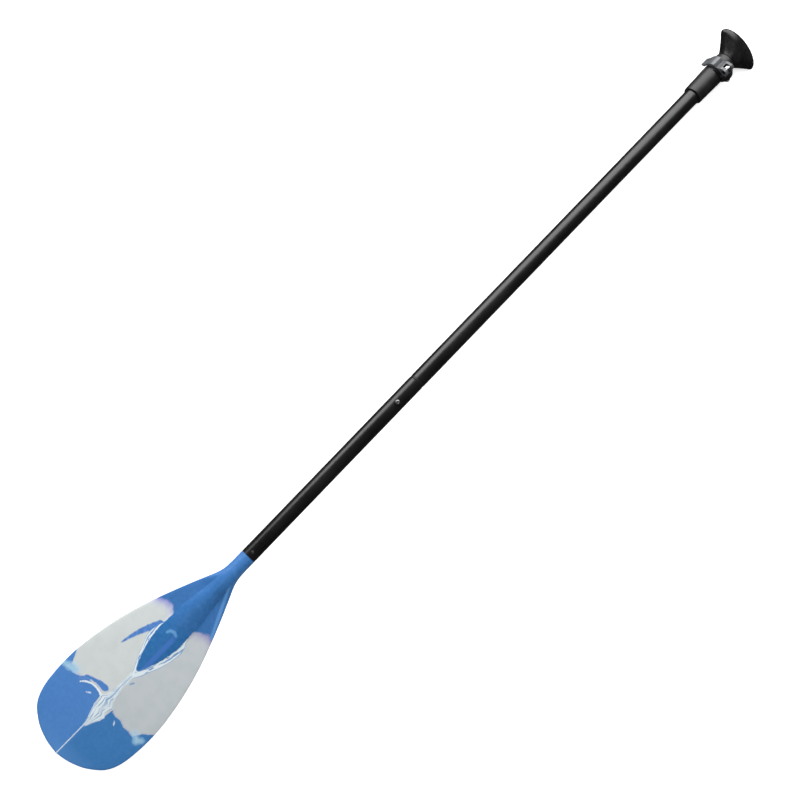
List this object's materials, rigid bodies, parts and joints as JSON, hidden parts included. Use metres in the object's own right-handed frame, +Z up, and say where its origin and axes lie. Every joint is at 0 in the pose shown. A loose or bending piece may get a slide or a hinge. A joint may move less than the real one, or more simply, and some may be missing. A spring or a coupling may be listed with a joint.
{
  "type": "adjustable stand-up paddle",
  "caption": "Stand-up paddle with a patterned teardrop blade, black tube shaft with a snap-button joint, a quick-release clamp, and a palm grip that slides and turns.",
  "frame": {"origin": "middle of the footprint on the floor, with the paddle lying face up on its blade tip and palm grip", "axes": "+X from the blade tip towards the palm grip, +Z up out of the patterned blade face, +Y towards the left edge of the blade seen with the grip away"},
  "size_m": [1.6975, 0.2, 0.0645],
  "materials": {
    "blade_print": "satin printed face",
    "black_tube": "black satin anodised",
    "black_rivet": "black",
    "pale_foam": "closed-cell foam",
    "ferrule_black": "moulded nylon",
    "rubber_plug": "matt",
    "spring_steel": "bright",
    "button_steel": "bright",
    "collar_black": "moulded nylon",
    "bolt_steel": "bright",
    "saddle_black": "moulded",
    "lever_grey": "satin grey",
    "grip_black": "moulded, fine grain"
  },
  "bodies": {
    "shaft": {"blade": "blade_print", "rivet_face": "black_rivet", "rivet_back": "black_rivet", "lower_tube": "black_tube", "lower_foam": "pale_foam", "ferrule": "ferrule_black", "ferrule_plug": "rubber_plug", "snap_spring": "spring_steel", "middle_tube": "black_tube", "clamp_collar": "collar_black", "clamp_bolt": "bolt_steel", "clamp_nut": "bolt_steel", "lever_pin": "bolt_steel", "cam_saddle": "saddle_black"},
    "button": {"snap_button": "button_steel"},
    "lever": {"clamp_lever": "lever_grey"},
    "bush": {"handle_bush": "ferrule_black"},
    "handle": {"handle_tube": "black_tube", "handle_foam": "pale_foam", "palm_grip": "grip_black"}
  },
  "joints": [
    {"name": "handle_slide", "type": "slide", "parent": "shaft", "child": "bush", "axis": [0.9997, 0, -0.0257], "range_m": [0, 0.4]},
    {"name": "handle_turn", "type": "hinge", "parent": "bush", "child": "handle", "pos_m": [0.55236, 0, 0.02537], "axis": [0.9997, 0, -0.0257], "continuous": true},
    {"name": "lever_flip", "type": "hinge", "parent": "shaft", "child": "lever", "pos_m": [0.78043, -0.00949, 0.04489], "axis": [0.9997, 0, -0.0257], "range_deg": [0, 140]},
    {"name": "button_press", "type": "slide", "parent": "shaft", "child": "button", "axis": [-0.0257, 0, -0.9997], "range_m": [0, 0.0042], "stiffness_N_per_m": 2000, "springref_m": -0.001, "deforming": ["snap_spring"]}
  ]
}
